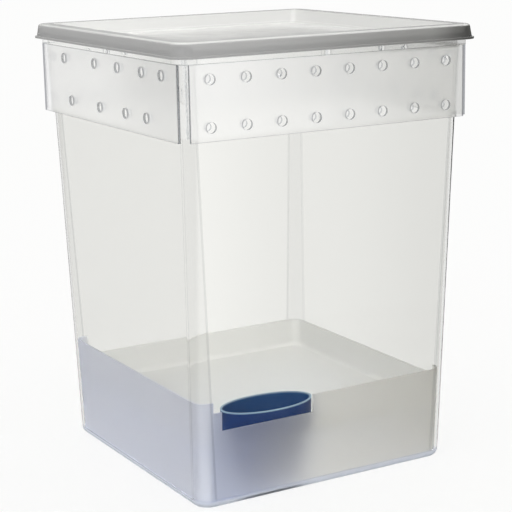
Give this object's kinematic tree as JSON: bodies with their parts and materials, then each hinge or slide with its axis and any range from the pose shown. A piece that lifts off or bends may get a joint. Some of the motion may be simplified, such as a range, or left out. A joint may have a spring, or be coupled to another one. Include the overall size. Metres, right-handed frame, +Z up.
{
  "type": "terrarium box",
  "caption": "Tall square see-through plastic terrarium tub with a lift-off lid, perforated vent panels under the rim, a frosted floor tray and an oval water cup.",
  "frame": {"origin": "centre of the tub's resting face", "axes": "+Z up out of the tub's mouth, front wall with the tray window towards -Y, left wall towards -X"},
  "size_m": [0.3068, 0.3068, 0.4095],
  "materials": {
    "tub_plastic": "satin, see-through",
    "lid_plastic": "satin, cloudy",
    "panel_plastic": "satin, see-through",
    "tray_plastic": "frosted",
    "cup_plastic": "gloss"
  },
  "bodies": {
    "tub_body": {"tub": "tub_plastic", "front_vent_panel": "panel_plastic", "back_vent_panel": "panel_plastic", "left_vent_panel": "panel_plastic", "right_vent_panel": "panel_plastic"},
    "lid_body": {"lid": "lid_plastic"},
    "tray_body": {"floor_tray": "tray_plastic"},
    "cup_body": {"water_cup": "cup_plastic"}
  },
  "joints": [
    {"name": "lid_lift", "type": "slide", "parent": "tub_body", "child": "lid_body", "axis": [0, 0, 1], "range_m": [0, 0.1]},
    {"name": "tray_lift", "type": "slide", "parent": "tub_body", "child": "tray_body", "axis": [0, 0, 1], "range_m": [0, 0.15]},
    {"name": "cup_lift", "type": "slide", "parent": "tray_body", "child": "cup_body", "axis": [0, 0, 1], "range_m": [0, 0.12]}
  ]
}
